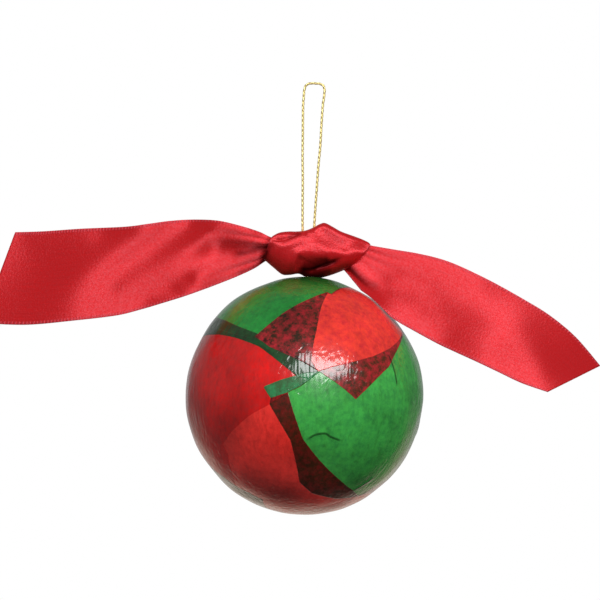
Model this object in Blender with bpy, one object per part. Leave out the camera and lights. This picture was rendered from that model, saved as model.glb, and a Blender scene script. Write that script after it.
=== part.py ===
"""Hanging ball ornament: a tissue-covered ball, its cord loop and the satin ribbon knotted round the cord.

Metres, +Z up, front towards -Y. The origin is where a hook bears: the underside of the loop's top.
The ball hangs plumb below it. Heights on the ribbon are measured up from the ball's crown.
"""

import math

import bmesh
import bpy
import numpy as np

# Ball
BALL_DIAMETER = 0.100
BALL_SEGMENTS = 48
BALL_RINGS = 30
SOCKET_DEPTH = 0.006  # hole in the crown that holds the cord's two ends
SOCKET_SIDES = 16

# Cord: one length, from the socket up to the hook and back down
HANG_DROP = 0.0810  # from the hook's bearing point down to the ball's crown
CORD_DIAMETER = 0.0011
CORD_POINTS = 78
ROUTE_SAMPLES = 600  # points read off the smooth route before it is spaced evenly
CHANNEL_POINTS = 12

# Ribbon: one strip, tied once round the cord just above the ball
RIBBON_WIDTH = 0.038
RIBBON_THICKNESS = 0.0006
LEFT_TAIL_LENGTH = 0.1135
RIGHT_TAIL_LENGTH = 0.0980
KNOT_WIDTH = 0.0420
KNOT_HEIGHT = 0.0226
KNOT_DEPTH = 0.0185
KNOT_ROUNDNESS = 2.3  # exponent of the knot's section: 2 is an ellipse, more is boxier
STATIONS = 62  # sections along the strip
ACROSS = 18  # faces across the strip, on each side

# Gap between pieces that touch
CLEARANCE = 0.0003
CHANNEL_RISE = 0.005  # how far the cord's channel is cut past the knot's top
WELD = 0.00001

BALL_RADIUS = BALL_DIAMETER / 2
CORD_RADIUS = CORD_DIAMETER / 2
CROWN_Z = -HANG_DROP
BALL_CENTRE_Z = CROWN_Z - BALL_RADIUS
STRAND_OFFSET = (CORD_DIAMETER + CLEARANCE) / 2
SOCKET_RADIUS = STRAND_OFFSET + CORD_RADIUS + CLEARANCE
CHANNEL_RADIUS = CORD_RADIUS + CLEARANCE

# The cord's route between its two ends: sideways place in metres, then how far down, as a share of the way
# from the loop's top to the ball's crown.
CORD_ROUTE = [
    (-0.0009, 0.965),
    (-0.0016, 0.890),
    (-0.0025, 0.810),
    (-0.0030, 0.760),
    (-0.0034, 0.620),
    (-0.0037, 0.490),
    (-0.0041, 0.380),
    (-0.0043, 0.275),
    (-0.0046, 0.130),
    (-0.0045, 0.076),
    (-0.0043, 0.035),
    (-0.0036, 0.011),
    (-0.0020, 0.001),
    (0.0000, 0.000),
    (0.0020, 0.001),
    (0.0036, 0.011),
    (0.0042, 0.035),
    (0.0040, 0.076),
    (0.0037, 0.110),
    (0.0034, 0.210),
    (0.0032, 0.325),
    (0.0027, 0.425),
    (0.0023, 0.560),
    (0.0020, 0.660),
    (0.0018, 0.740),
    (0.0014, 0.810),
    (0.0011, 0.890),
    (0.0008, 0.965),
]

# The tails, outwards from the neck where they leave the knot. Each station is the strip's middle, as shares
# of the tail's length (out, back, up), and the vector from its lower to its upper edge, as shares of the
# ribbon's width.
LEFT_TAIL = [
    ((0.07, -0.015, -0.010), (0.02, 0.02, 0.47)),
    ((0.165, -0.025, -0.017), (0.02, 0.05, 0.655)),
    ((0.265, -0.020, -0.033), (0.02, 0.08, 0.79)),
    ((0.33, -0.005, -0.047), (0.03, 0.06, 0.855)),
    ((0.43, 0.018, -0.071), (0.03, 0.00, 0.915)),
    ((0.53, 0.025, -0.096), (0.03, -0.05, 0.955)),
    ((0.69, 0.010, -0.118), (-0.01, -0.06, 0.995)),
    ((0.88, -0.012, -0.140), (-0.17, 0.00, 1.005)),
    ((1.00, -0.020, -0.146), (-0.34, 0.04, 1.00)),
]
RIGHT_TAIL = [
    ((0.11, -0.030, -0.055), (0.36, 0.42, 0.50)),
    ((0.22, -0.030, -0.105), (0.41, 0.53, 0.68)),
    ((0.33, -0.018, -0.146), (0.40, 0.57, 0.75)),
    ((0.42, -0.008, -0.190), (0.34, 0.57, 0.78)),
    ((0.535, -0.003, -0.240), (0.35, 0.59, 0.75)),
    ((0.74, 0.006, -0.335), (0.34, 0.60, 0.76)),
    ((0.88, 0.015, -0.415), (0.47, 0.62, 0.60)),
    ((0.945, 0.025, -0.490), (0.72, 0.66, 0.27)),
]

# The knot, left to right: x of its upper edge and of its lower edge, as shares of half its width; the
# heights of both edges over the crown and the swell of its front and back, as shares of height and depth.
KNOT = [
    (-0.82, -0.87, 0.745, 0.270, 0.34),
    (-0.64, -0.70, 0.815, 0.160, 0.66),
    (-0.42, -0.52, 0.830, 0.020, 0.86),
    (-0.16, -0.28, 0.835, 0.045, 0.96),
    (0.08, 0.00, 0.910, 0.012, 1.00),
    (0.27, 0.14, 1.000, 0.000, 1.00),
    (0.50, 0.38, 0.915, 0.020, 0.96),
    (0.74, 0.56, 0.830, 0.070, 0.86),
    (0.98, 0.68, 0.760, 0.115, 0.66),
    (1.16, 0.76, 0.690, 0.150, 0.38),
]

# Creases on the knot's front. Each is a line of points (x as a share of half the knot's width, height as a
# share of the knot's height), how far it stands out (sinks in, where negative) as a share of the knot's
# depth, and how far it reaches to each side, as a share of the knot's height.
KNOT_CREASES = [
    ([(0.06, 0.86), (0.14, 0.73), (0.40, 0.62), (0.68, 0.52)], 0.090, 0.20),
    ([(0.68, 0.52), (0.85, 0.60), (1.07, 0.62)], 0.075, 0.155),
    ([(-0.83, 0.66), (-0.48, 0.75), (0.06, 0.86)], 0.065, 0.13),
    ([(-0.25, 0.345), (-0.37, 0.09)], 0.055, 0.18),
    ([(0.14, 0.20), (0.62, 0.38)], -0.120, 0.155),
]

# Gathers where the tails leave the knot
GATHER_COUNT = 3.5
GATHER_DEPTH = 0.0016
GATHER_FADE = 0.45  # share of the tail's length over which they flatten out

COLLECTION = "ball_ornament"
CUTTERS = "cutters"


def clear_scene():
    for item in list(bpy.context.scene.objects):
        bpy.data.objects.remove(item, do_unlink=True)


def collection(name):
    made = bpy.data.collections.new(name)
    bpy.context.scene.collection.children.link(made)
    return made


def material(name, colour, roughness, metallic=0.0, coat=0.0):
    made = bpy.data.materials.new(name)
    made.use_nodes = True
    shader = made.node_tree.nodes["Principled BSDF"]
    shader.inputs["Base Color"].default_value = (*colour, 1.0)
    shader.inputs["Roughness"].default_value = roughness
    shader.inputs["Metallic"].default_value = metallic
    shader.inputs["Coat Weight"].default_value = coat
    return made


def mesh_object(name, verts, faces, into):
    mesh = bpy.data.meshes.new(name)
    mesh.from_pydata(verts.tolist(), [], faces)
    mesh.validate()
    made = bpy.data.objects.new(name, mesh)
    into.objects.link(made)
    return made


def smooth_through(keys, count):
    """Points on a Catmull-Rom curve through the rows of keys, evenly spread over the rows' index."""
    keys = np.asarray(keys, dtype=float)
    last = len(keys) - 1
    at = np.linspace(0.0, last, count)
    low = np.minimum(at.astype(int), last - 1)
    t = (at - low)[:, None]
    p0 = keys[np.maximum(low - 1, 0)]
    p1 = keys[low]
    p2 = keys[low + 1]
    p3 = keys[np.minimum(low + 2, last)]
    return p1 + 0.5 * t * (p2 - p0 + t * (2 * p0 - 5 * p1 + 4 * p2 - p3 + t * (3 * (p1 - p2) + p3 - p0)))


def even_along(points, count):
    """The same route again, as points at even distances."""
    steps = np.linalg.norm(np.diff(points, axis=0), axis=1)
    run = np.concatenate([[0.0], np.cumsum(steps)])
    at = np.linspace(0.0, run[-1], count)
    return np.stack([np.interp(at, run, points[:, k]) for k in range(3)], axis=1)


def cord_route():
    """The cord's middle line, from one end in the socket over the hook's place to the other."""
    end_z = CROWN_Z - SOCKET_DEPTH + CLEARANCE
    drop = HANG_DROP + CORD_RADIUS
    route = [(x, 0.0, CORD_RADIUS - down * drop) for x, down in CORD_ROUTE]
    start = [(-STRAND_OFFSET, 0.0, end_z), (-STRAND_OFFSET, 0.0, CROWN_Z)]
    finish = [(STRAND_OFFSET, 0.0, CROWN_Z), (STRAND_OFFSET, 0.0, end_z)]
    return smooth_through(start + route + finish, ROUTE_SAMPLES)


def tube(name, points, radius, into, resolution=2):
    curve = bpy.data.curves.new(name, "CURVE")
    curve.dimensions = "3D"
    spline = curve.splines.new("POLY")
    spline.points.add(len(points) - 1)
    for slot, point in zip(spline.points, points):
        slot.co = (*point, 1.0)
    curve.bevel_depth = radius
    curve.bevel_resolution = resolution
    curve.use_fill_caps = True
    made = bpy.data.objects.new(name, curve)
    into.objects.link(made)
    return made


def tube_as_mesh(made, into):
    """A tube turned into a mesh whose caps are welded on, so that it can cut."""
    name = made.name
    bpy.context.view_layer.update()
    seen = made.evaluated_get(bpy.context.evaluated_depsgraph_get())
    mesh = bpy.data.meshes.new_from_object(seen)
    place = made.matrix_world.copy()
    bpy.data.objects.remove(made, do_unlink=True)
    shell = bmesh.new()
    shell.from_mesh(mesh)
    bmesh.ops.remove_doubles(shell, verts=shell.verts, dist=WELD)
    bmesh.ops.recalc_face_normals(shell, faces=shell.faces)
    shell.to_mesh(mesh)
    shell.free()
    cutter = bpy.data.objects.new(name, mesh)
    cutter.matrix_world = place
    into.objects.link(cutter)
    return cutter


def cut(target, cutter):
    cutter.hide_render = True
    cutter.display_type = "WIRE"
    step = target.modifiers.new(cutter.name, "BOOLEAN")
    step.operation = "DIFFERENCE"
    step.solver = "EXACT"
    step.object = cutter


def build_ball(parts, cutters):
    mesh = bpy.data.meshes.new("ball")
    sphere = bmesh.new()
    bmesh.ops.create_uvsphere(sphere, u_segments=BALL_SEGMENTS, v_segments=BALL_RINGS, radius=BALL_RADIUS)
    sphere.to_mesh(mesh)
    sphere.free()
    mesh.shade_smooth()
    ball = bpy.data.objects.new("ball", mesh)
    ball.location = (0.0, 0.0, BALL_CENTRE_Z)
    parts.objects.link(ball)

    socket_mesh = bpy.data.meshes.new("socket")
    drill = bmesh.new()
    bmesh.ops.create_cone(
        drill,
        cap_ends=True,
        segments=SOCKET_SIDES,
        radius1=SOCKET_RADIUS,
        radius2=SOCKET_RADIUS,
        depth=2 * SOCKET_DEPTH,
    )
    drill.to_mesh(socket_mesh)
    drill.free()
    socket = bpy.data.objects.new("socket", socket_mesh)
    socket.location = (0.0, 0.0, CROWN_Z)
    cutters.objects.link(socket)
    cut(ball, socket)

    ball.data.materials.append(material("varnished_tissue", (0.62, 0.03, 0.025), 0.3, coat=1.0))


def build_cord(parts):
    cord = tube("hanging_cord", even_along(cord_route(), CORD_POINTS), CORD_RADIUS, parts)
    cord.data.materials.append(material("gold_cord", (0.83, 0.62, 0.20), 0.35, metallic=1.0))


def strip_sections():
    """Upper edge, lower edge, swell and gathers of every section, from the left end to the right end."""
    half = KNOT_WIDTH / 2
    knot = []
    for upper_x, lower_x, upper_h, lower_h, swell in KNOT:
        upper = (upper_x * half, 0.0, CROWN_Z + upper_h * KNOT_HEIGHT)
        lower = (lower_x * half, 0.0, CROWN_Z + CLEARANCE + lower_h * KNOT_HEIGHT)
        knot.append((*upper, *lower, swell * KNOT_DEPTH / 2, 0.0))

    def tail(stations, length, side, neck):
        middle = (np.array(neck[0:3]) + np.array(neck[3:6])) / 2
        rows = []
        for (out, back, up), across in stations:
            centre = middle + length * np.array((side * out, back, up))
            edge = RIBBON_WIDTH / 2 * np.array((side * across[0], across[1], across[2]))
            fold = GATHER_DEPTH * max(0.0, 1.0 - out / GATHER_FADE)
            rows.append((*(centre + edge), *(centre - edge), 0.0, fold))
        return rows

    left = tail(LEFT_TAIL, LEFT_TAIL_LENGTH, -1, knot[0])
    right = tail(RIGHT_TAIL, RIGHT_TAIL_LENGTH, 1, knot[-1])
    return smooth_through(left[::-1] + knot + right, STATIONS)


def off_the_ball(points):
    """Moves any point that would come within reach of the ball straight out from the ball's centre."""
    centre = np.array((0.0, 0.0, BALL_CENTRE_Z))
    away = points - centre
    distance = np.linalg.norm(away, axis=-1, keepdims=True)
    return centre + away * np.maximum(1.0, (BALL_RADIUS + CLEARANCE) / distance)


def creases(points):
    """How far the creases bring the knot's front forward: a tent of the given height along each line."""
    place = np.stack([points[..., 0], points[..., 2] - CROWN_Z], axis=-1)
    forward = np.zeros(place.shape[:-1])
    for line, height, reach in KNOT_CREASES:
        corners = np.array(line) * (KNOT_WIDTH / 2, KNOT_HEIGHT)
        nearest = np.full(forward.shape, np.inf)
        for start, end in zip(corners, corners[1:]):
            run = end - start
            share = np.clip((place - start) @ run / (run @ run), 0.0, 1.0)
            gap = np.linalg.norm(place - start - share[..., None] * run, axis=-1)
            nearest = np.minimum(nearest, gap)
        forward += height * KNOT_DEPTH * np.clip(1.0 - nearest / (reach * KNOT_HEIGHT), 0.0, 1.0)
    return forward


def build_ribbon(parts, cutters):
    sections = strip_sections()
    upper = sections[:, None, 0:3]
    lower = sections[:, None, 3:6]
    swell = np.maximum(sections[:, None, 6], 0.0)
    fold = sections[:, None, 7]
    even = np.linspace(0.0, 1.0, ACROSS + 1)[None, :]
    rounded = 0.5 - 0.5 * np.cos(math.pi * even)
    fullness = np.clip(2 * swell / KNOT_DEPTH, 0.0, 1.0)
    share = even + (rounded - even) * fullness
    middle = upper + (lower - upper) * share[:, :, None]
    profile = (1.0 - np.abs(2 * share - 1.0) ** KNOT_ROUNDNESS) ** (1.0 / KNOT_ROUNDNESS)
    gather = fold * np.sin(2 * math.pi * GATHER_COUNT * share)
    reach = RIBBON_THICKNESS / 2 + swell * profile

    front = middle.copy()
    back = middle.copy()
    front[:, :, 1] += gather - reach
    back[:, :, 1] += gather + reach
    front[:, :, 1] -= fullness * profile * creases(front)
    front = off_the_ball(front)
    back = off_the_ball(back)
    back[:, :, 1] = np.maximum(back[:, :, 1], front[:, :, 1] + RIBBON_THICKNESS / 2)

    rows, columns = share.shape
    verts = np.concatenate([front.reshape(-1, 3), back.reshape(-1, 3)])
    other = rows * columns

    grid = np.arange(other).reshape(rows, columns)
    side = np.stack([grid[:-1, :-1], grid[:-1, 1:], grid[1:, 1:], grid[1:, :-1]], axis=-1).reshape(-1, 4)
    faces = [side, side[:, ::-1] + other]
    for rim in (grid[:, 0], grid[-1], grid[::-1, -1], grid[0, ::-1]):
        faces.append(np.stack([rim[:-1], rim[1:], rim[1:] + other, rim[:-1] + other], axis=1))

    ribbon = mesh_object("ribbon", verts, np.concatenate(faces).tolist(), parts)
    shell = bmesh.new()
    shell.from_mesh(ribbon.data)
    bmesh.ops.recalc_face_normals(shell, faces=shell.faces)
    shell.to_mesh(ribbon.data)
    shell.free()
    ribbon.data.shade_smooth()

    route = cord_route()
    through = (route[:, 2] > CROWN_Z - CLEARANCE) & (route[:, 2] < CROWN_Z + KNOT_HEIGHT + CHANNEL_RISE)
    for name, side in (("left_channel", -1), ("right_channel", 1)):
        strand = route[through & (side * route[:, 0] > 0)]
        guide = tube(name, even_along(strand, CHANNEL_POINTS), CHANNEL_RADIUS, cutters)
        cut(ribbon, tube_as_mesh(guide, cutters))

    ribbon.data.materials.append(material("red_satin", (0.62, 0.02, 0.05), 0.35))


clear_scene()
part_collection = collection(COLLECTION)
cutter_collection = collection(CUTTERS)
build_ball(part_collection, cutter_collection)
build_cord(part_collection)
build_ribbon(part_collection, cutter_collection)
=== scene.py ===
import math
from functools import partial

import bpy
import numpy as np
from mathutils import Matrix


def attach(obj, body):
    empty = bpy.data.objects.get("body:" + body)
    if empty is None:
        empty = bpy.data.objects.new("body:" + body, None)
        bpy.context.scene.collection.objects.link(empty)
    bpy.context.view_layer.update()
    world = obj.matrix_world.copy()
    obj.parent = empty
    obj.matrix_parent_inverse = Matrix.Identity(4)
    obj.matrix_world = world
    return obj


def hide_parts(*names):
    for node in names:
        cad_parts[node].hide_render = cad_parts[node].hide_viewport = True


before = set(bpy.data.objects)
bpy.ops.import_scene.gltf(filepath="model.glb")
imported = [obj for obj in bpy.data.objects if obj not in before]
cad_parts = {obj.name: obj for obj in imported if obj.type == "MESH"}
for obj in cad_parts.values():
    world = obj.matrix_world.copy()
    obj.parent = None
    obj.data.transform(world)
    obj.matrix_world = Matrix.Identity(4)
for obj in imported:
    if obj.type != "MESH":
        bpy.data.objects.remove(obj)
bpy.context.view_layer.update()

MM = 0.001  # metres

# The camera of the photograph: 620 mm in front of the cord, level, and turned two degrees about its own
# axis, so that the cord leans in the frame.
VIEW_DISTANCE = 0.620
VIEW_WIDTH = 0.2529  # what the frame spans at the cord's plane
VIEW_CENTRE_X = -0.0031
VIEW_CENTRE_Z = -0.0909
VIEW_ROLL = math.radians(1.98)
SENSOR_WIDTH = 36.0

camera_data = bpy.data.cameras.new("front_view")
camera_data.sensor_width = SENSOR_WIDTH
camera_data.lens = SENSOR_WIDTH * VIEW_DISTANCE / VIEW_WIDTH
camera_data.clip_start = 0.05
camera_data.clip_end = 20.0
camera = bpy.data.objects.new("front_view", camera_data)
bpy.context.scene.collection.objects.link(camera)
camera.matrix_world = Matrix((
    (math.cos(VIEW_ROLL), -math.sin(VIEW_ROLL), 0.0, VIEW_CENTRE_X),
    (0.0, 0.0, -1.0, -VIEW_DISTANCE),
    (math.sin(VIEW_ROLL), math.cos(VIEW_ROLL), 0.0, VIEW_CENTRE_Z),
    (0.0, 0.0, 0.0, 1.0),
))
bpy.context.scene.camera = camera

# Hanging cord: one length of metallic gold cord, three plies twisted together, folded into a loop. Both
# ends run down through the ribbon's knot and are glued into the socket in the ball's crown.
HANG_DROP = 81.0  # mm from the hook down to the ball's crown; every size below is in mm
CORD_DIAMETER = 1.1
SOCKET_DEPTH = 6.0
GLUE_GAP = 0.3  # below the cord's ends
STRAND_OFFSET = 0.7
# The two strands and the bend between them: x, and how far down as a share of the whole drop.
CORD_ROUTE = [
    (-0.9, 0.965), (-1.6, 0.89), (-2.5, 0.81), (-3, 0.76), (-3.4, 0.62), (-3.7, 0.49), (-4.1, 0.38),
    (-4.3, 0.275), (-4.6, 0.13), (-4.5, 0.076), (-4.3, 0.035), (-3.6, 0.011), (-2, 0.001), (0, 0),
    (2, 0.001), (3.6, 0.011), (4.2, 0.035), (4, 0.076), (3.7, 0.11), (3.4, 0.21), (3.2, 0.325),
    (2.7, 0.425), (2.3, 0.56), (2, 0.66), (1.8, 0.74), (1.4, 0.81), (1.1, 0.89), (0.8, 0.965),
]
CORD_SAMPLES = 2400
CORD_RINGS = 1100
CORD_SIDES = 24
PLY_COUNT = 3
PLY_TURN = 6.3  # mm of cord in which one ply goes once round
PLY_GROOVE = 0.36  # depth of the groove between two plies, as a share of the radius


def smooth_through(keys, count):
    """Points on a smooth curve through the rows of keys, evenly spread over the rows' index. Between two rows
    it is a cubic, and its slope at a row is half the step from the row before to the row after."""
    keys = np.asarray(keys, dtype=float)
    last = len(keys) - 1
    at = np.linspace(0.0, last, count)
    low = np.minimum(at.astype(int), last - 1)
    t = (at - low)[:, None]
    p0 = keys[np.maximum(low - 1, 0)]
    p1 = keys[low]
    p2 = keys[low + 1]
    p3 = keys[np.minimum(low + 2, last)]
    return p1 + 0.5 * t * (p2 - p0 + t * (2 * p0 - 5 * p1 + 4 * p2 - p3 + t * (3 * (p1 - p2) + p3 - p0)))


def distance_along(points):
    """Distance along a route from its start to each of its points."""
    steps = np.linalg.norm(np.diff(points, axis=0), axis=1)
    return np.concatenate([[0.0], np.cumsum(steps)])


def even_along(points, count):
    """The same route again, as points at even distances."""
    run = distance_along(points)
    at = np.linspace(0.0, run[-1], count)
    return np.stack([np.interp(at, run, points[:, k]) for k in range(points.shape[1])], axis=1)


def unit(vectors):
    """The same directions with length 1."""
    return vectors / np.linalg.norm(vectors, axis=-1, keepdims=True)


def net_faces(rows, columns, closed):
    """Rows and columns of the four corners of each face of a net. A closed net joins its last column to its
    first."""
    row, column = np.meshgrid(np.arange(rows - 1), np.arange(columns - (0 if closed else 1)), indexing="ij")
    row = row.reshape(-1, 1)
    column = column.reshape(-1, 1)
    return row + np.array([0, 0, 1, 1]), column + np.array([0, 1, 1, 0])


def piece_from(name, points, faces, uv=None, values=None):
    """A smooth mesh piece from points in mm and faces as lists of point numbers, with the corners' UVs and
    named values for the points."""
    mesh = bpy.data.meshes.new(name)
    mesh.from_pydata((points * MM).tolist(), [], faces)
    mesh.shade_smooth()
    if uv is not None:
        layer = mesh.uv_layers.new(name="thread")
        layer.data.foreach_set("uv", uv.astype(np.float32).ravel())
    for label, numbers in (values or {}).items():
        store = mesh.attributes.new(label, "FLOAT", "POINT")
        store.data.foreach_set("value", numbers.astype(np.float32).ravel())
    piece = bpy.data.objects.new(name, mesh)
    bpy.context.scene.collection.objects.link(piece)
    return piece


def linear(code):
    """An sRGB hex colour as linear red, green and blue, with full alpha."""
    shares = [int(code[place:place + 2], 16) / 255 for place in (1, 3, 5)]
    return (*[s / 12.92 if s <= 0.04045 else ((s + 0.055) / 1.055) ** 2.4 for s in shares], 1.0)


SMOOTH = {"interpolation_type": "SMOOTHSTEP"}


def add_node(tree, kind, inputs=(), **settings):
    """Adds a node and returns it. Inputs are a list in the sockets' order (a Map Range's are the value, from
    least and most, to least and most), or sockets by name or number. Each is a value, an output, or a node,
    which stands for the first of its outputs in use. Settings are the node's own."""
    node = tree.nodes.new("ShaderNode" + kind)
    for key, value in settings.items():
        setattr(node, key, value)
    if not isinstance(inputs, dict):
        inputs = dict(enumerate(inputs))
    for key, value in inputs.items():
        if isinstance(value, bpy.types.Node):
            value = next(output for output in value.outputs if output.enabled)
        if isinstance(value, bpy.types.NodeSocket):
            tree.links.new(value, node.inputs[key])
        else:
            node.inputs[key].default_value = value
    return node


def new_material(name):
    """An empty node material, and add_node for its own tree."""
    material = bpy.data.materials.new(name)
    material.use_nodes = True
    material.node_tree.nodes.clear()
    return material, partial(add_node, material.node_tree)


cord_end = -HANG_DROP - SOCKET_DEPTH + GLUE_GAP
cord_keys = [(-STRAND_OFFSET, 0.0, cord_end), (-STRAND_OFFSET, 0.0, -HANG_DROP)]
cord_keys += [(x, 0.0, CORD_DIAMETER / 2 - down * (HANG_DROP + CORD_DIAMETER / 2)) for x, down in CORD_ROUTE]
cord_keys += [(STRAND_OFFSET, 0.0, -HANG_DROP), (STRAND_OFFSET, 0.0, cord_end)]
cord_middle = even_along(smooth_through(cord_keys, CORD_SAMPLES), CORD_RINGS)
cord_run = np.linspace(0.0, distance_along(cord_middle)[-1], CORD_RINGS)
cord_along = unit(np.gradient(cord_middle, axis=0))
cord_across = np.stack([-cord_along[:, 2], np.zeros(CORD_RINGS), cord_along[:, 0]], axis=1)
cord_turn = np.linspace(0.0, 2 * math.pi, CORD_SIDES, endpoint=False)[None, :]
ply_place = np.abs(np.cos(PLY_COUNT / 2 * (cord_turn - 2 * math.pi * cord_run[:, None] / PLY_TURN)))
cord_radius = CORD_DIAMETER / 2 * (1.0 - PLY_GROOVE * (1.0 - ply_place))
cord_points = (
    cord_middle[:, None, :]
    + (cord_radius * np.cos(cord_turn))[..., None] * cord_across[:, None, :]
    + (cord_radius * np.sin(cord_turn))[..., None] * np.array([0.0, 1.0, 0.0])
)
cord_rows, cord_columns = net_faces(CORD_RINGS, CORD_SIDES, True)
cord_faces = (cord_rows * CORD_SIDES + cord_columns % CORD_SIDES).tolist()
cord_faces.append(list(range(CORD_SIDES)))
cord_faces.append(list(range(CORD_RINGS * CORD_SIDES - 1, (CORD_RINGS - 1) * CORD_SIDES - 1, -1)))
gold_cord = piece_from("gold_cord", cord_points.reshape(-1, 3), cord_faces, values={"ply": ply_place})

# Metallised polyester thread round a core: pale, bright gold on the plies, and a painted shade of dull
# brown in the grooves between them.
gold_thread, gold_node = new_material("metallised_gold_thread")
ply_value = gold_node("Attribute", attribute_name="ply").outputs["Fac"]
gold_object = gold_node("TexCoord").outputs["Object"]
foil_glints = gold_node("TexNoise", {"Vector": gold_object, "Scale": 1.0 / (0.5 * MM), "Detail": 2.0})
# painted shade: the colour goes darker towards the grooves between the plies
ply_colour_and_groove_shade = gold_node("ValToRGB", {"Fac": ply_value})
ply_colour_and_groove_shade.color_ramp.elements[0].position = 0.10
ply_colour_and_groove_shade.color_ramp.elements[0].color = linear("#7E6E2C")
ply_colour_and_groove_shade.color_ramp.elements[1].position = 0.55
ply_colour_and_groove_shade.color_ramp.elements[1].color = linear("#FCE69A")
gold_bump = gold_node("Bump", {"Height": foil_glints, "Distance": 0.10 * MM, "Strength": 0.8})
gold_shader = gold_node("BsdfPrincipled", {
    "Base Color": ply_colour_and_groove_shade, "Metallic": 0.45, "Roughness": 0.36, "Normal": gold_bump})
gold_node("OutputMaterial", {"Surface": gold_shader})
gold_cord.data.materials.append(gold_thread)

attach(gold_cord, "root")
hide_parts("hanging_cord")

# Ball: hand-made papier-mache, 100 mm across, covered with torn-edged sheets of red and green tissue that
# overlap, and brushed over with a thick gloss varnish.
BALL_RADIUS = 50.0
BALL_MIDDLE = np.array([0.0, 0.0, -HANG_DROP - BALL_RADIUS])
BALL_AROUND = 424
BALL_DOWN = 224
SOCKET_RADIUS = 1.55
FOOT_ANGLE = 0.012  # radians left open at the foot, which a fan closes
# The surface isn't quite even: hills of a height and wavelength in mm, made of so many waves, and a seed.
BALL_HILLS = [(0.16, 34.0, 24, 5), (0.07, 14.0, 40, 8)]
BALL_INSET = 0.15  # how far the mean surface lies inside the ball's 100 mm, to leave room for the hills
CROWN_FADE = 0.06  # radians in which the hills rise from the socket's rim
FOOT_FADE = 0.10  # radians in which they die out at the foot

# Each sheet of tissue is a patch with corners in degrees: round from the front towards the right, and up
# from the equator. Patches of one level don't meet; a higher level lies over a lower one.
TISSUE = [
    ("green", [
        # right half of the front, and round the right side
        [(-16, -1), (-15.3, 2.4), (-7.6, 5.8), (-1.6, 9.3), (2.8, 12.5), (6.2, 14.9), (12.4, 16.9),
         (19.3, 18.6), (34.7, 22.1), (50, 26.5), (64, 31.2), (100, 40), (134, 24), (128, -38), (92, -52),
         (62, -50.5), (44, -52), (26.9, -52.4), (7.3, -47.7), (-1.3, -40.2), (-4.2, -23.9), (-5.9, -17)],
    ]),
    ("low red", [
        # left half of the front
        [(-98, 40), (-56.4, 37.9), (-27.9, 31.9), (-9.6, 23.8), (5.8, 15.4), (5.8, 14.2), (2.2, 11),
         (-1.6, 7.9), (-7.6, 4.7), (-0.1, -15.9), (9.3, -27.3), (22, -37.5), (36.5, -45.5), (47, -50.5),
         (50, -62), (30, -74), (-80, -66), (-104, -40), (-110, 0)],
        # back
        [(116, 44), (165, 62), (205, 40), (214, -6), (190, -32), (150, -28), (118, -8)],
        # right side towards the back
        [(100, 64), (140, 66), (136, 10), (144, -34), (136, -64), (108, -58), (104, -20), (110, 20),
         (100, 44)],
        # high on the right, between the crown and the upper back
        [(78, 34), (96, 33), (116, 38), (140, 54), (170, 66), (162, 74), (110, 73), (84, 69), (94, 60),
         (90, 44)],
        # left side towards the back
        [(-172, -66), (-178, -20), (-168, 12), (-150, 54), (-118, 60), (-104, 46), (-92, 36), (-94, 20),
         (-102, -4), (-120, -64)],
    ]),
    ("deep red", [
        # second red sheet, upper left of the front
        [(-100, 34), (-60, 33), (-28, 29), (-8, 18), (-3, 12), (-8.5, 4), (-16, -1), (-25.4, -6.5),
         (-35.9, -14.6), (-43.4, -21.4), (-41.8, -27), (-45, -38), (-52, -48), (-74, -44), (-92, -20)],
        # underside and lower back
        [(60, -45), (96, -30), (140, -38), (185, -55), (230, -62), (290, -62), (20, -62), (44, -50.5),
         (50, -50)],
    ]),
    ("deep green", [
        # upper left of the front and the crown, over the left red sheet
        [(-92, 27), (-78.4, 28), (-60, 29.6), (-43.5, 29.3), (-33, 27.5), (-23.6, 24.8), (-17.6, 21.4),
         (-10.7, 16.9), (-3.9, 12.1), (1.8, 11.4), (6.2, 14.3), (2.6, 19.5), (3.6, 27.6), (5.4, 34.8),
         (9.9, 49.3), (18.7, 60), (22.1, 58.6), (44.6, 65.4), (66, 67), (92, 66), (140, 64), (-160, 60),
         (-126, 54), (-108, 44)],
        # lower left and round the back
        [(-67.5, -37.3), (-57.1, -41.8), (-50.3, -47.6), (-42, -51), (-34, -56), (-60, -74), (-130, -66),
         (-150, -30), (-160, 14), (-128, 34), (-106, 14), (-98, -12), (-84, -28)],
    ]),
    ("red", [
        # upper right of the front
        [(-28.3, 30), (-22, 37), (-14.5, 44.8), (0, 54), (18.7, 61), (22.1, 59.5), (44.6, 66.4), (66, 68),
         (92, 67), (112, 54), (104, 42), (84, 35), (64.5, 30), (44, 17), (23.7, 2.3), (15.1, 9),
         (6.2, 14.6), (-1.7, 19), (-6.2, 20.7), (-12.3, 23.1), (-18.3, 25.1)],
        # upper back
        [(128, 20), (150, 34), (206, 26), (232, 44), (214, 72), (160, 66), (122, 46)],
    ]),
    ("thick green", [
        # small strip over the left sheet's corner
        [(-19.3, 6.7), (-15.6, 1.8), (-8.1, 4.6), (-1.6, 8.2), (2.8, 11.4), (6.6, 14.6), (0.7, 13.9),
         (-3.9, 12.7), (-11, 10.4)],
        # low on the back, over the red sheet
        [(134, -52), (128, -14), (164, -8), (196, -26), (200, -60), (160, -68)],
    ]),
]
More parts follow.
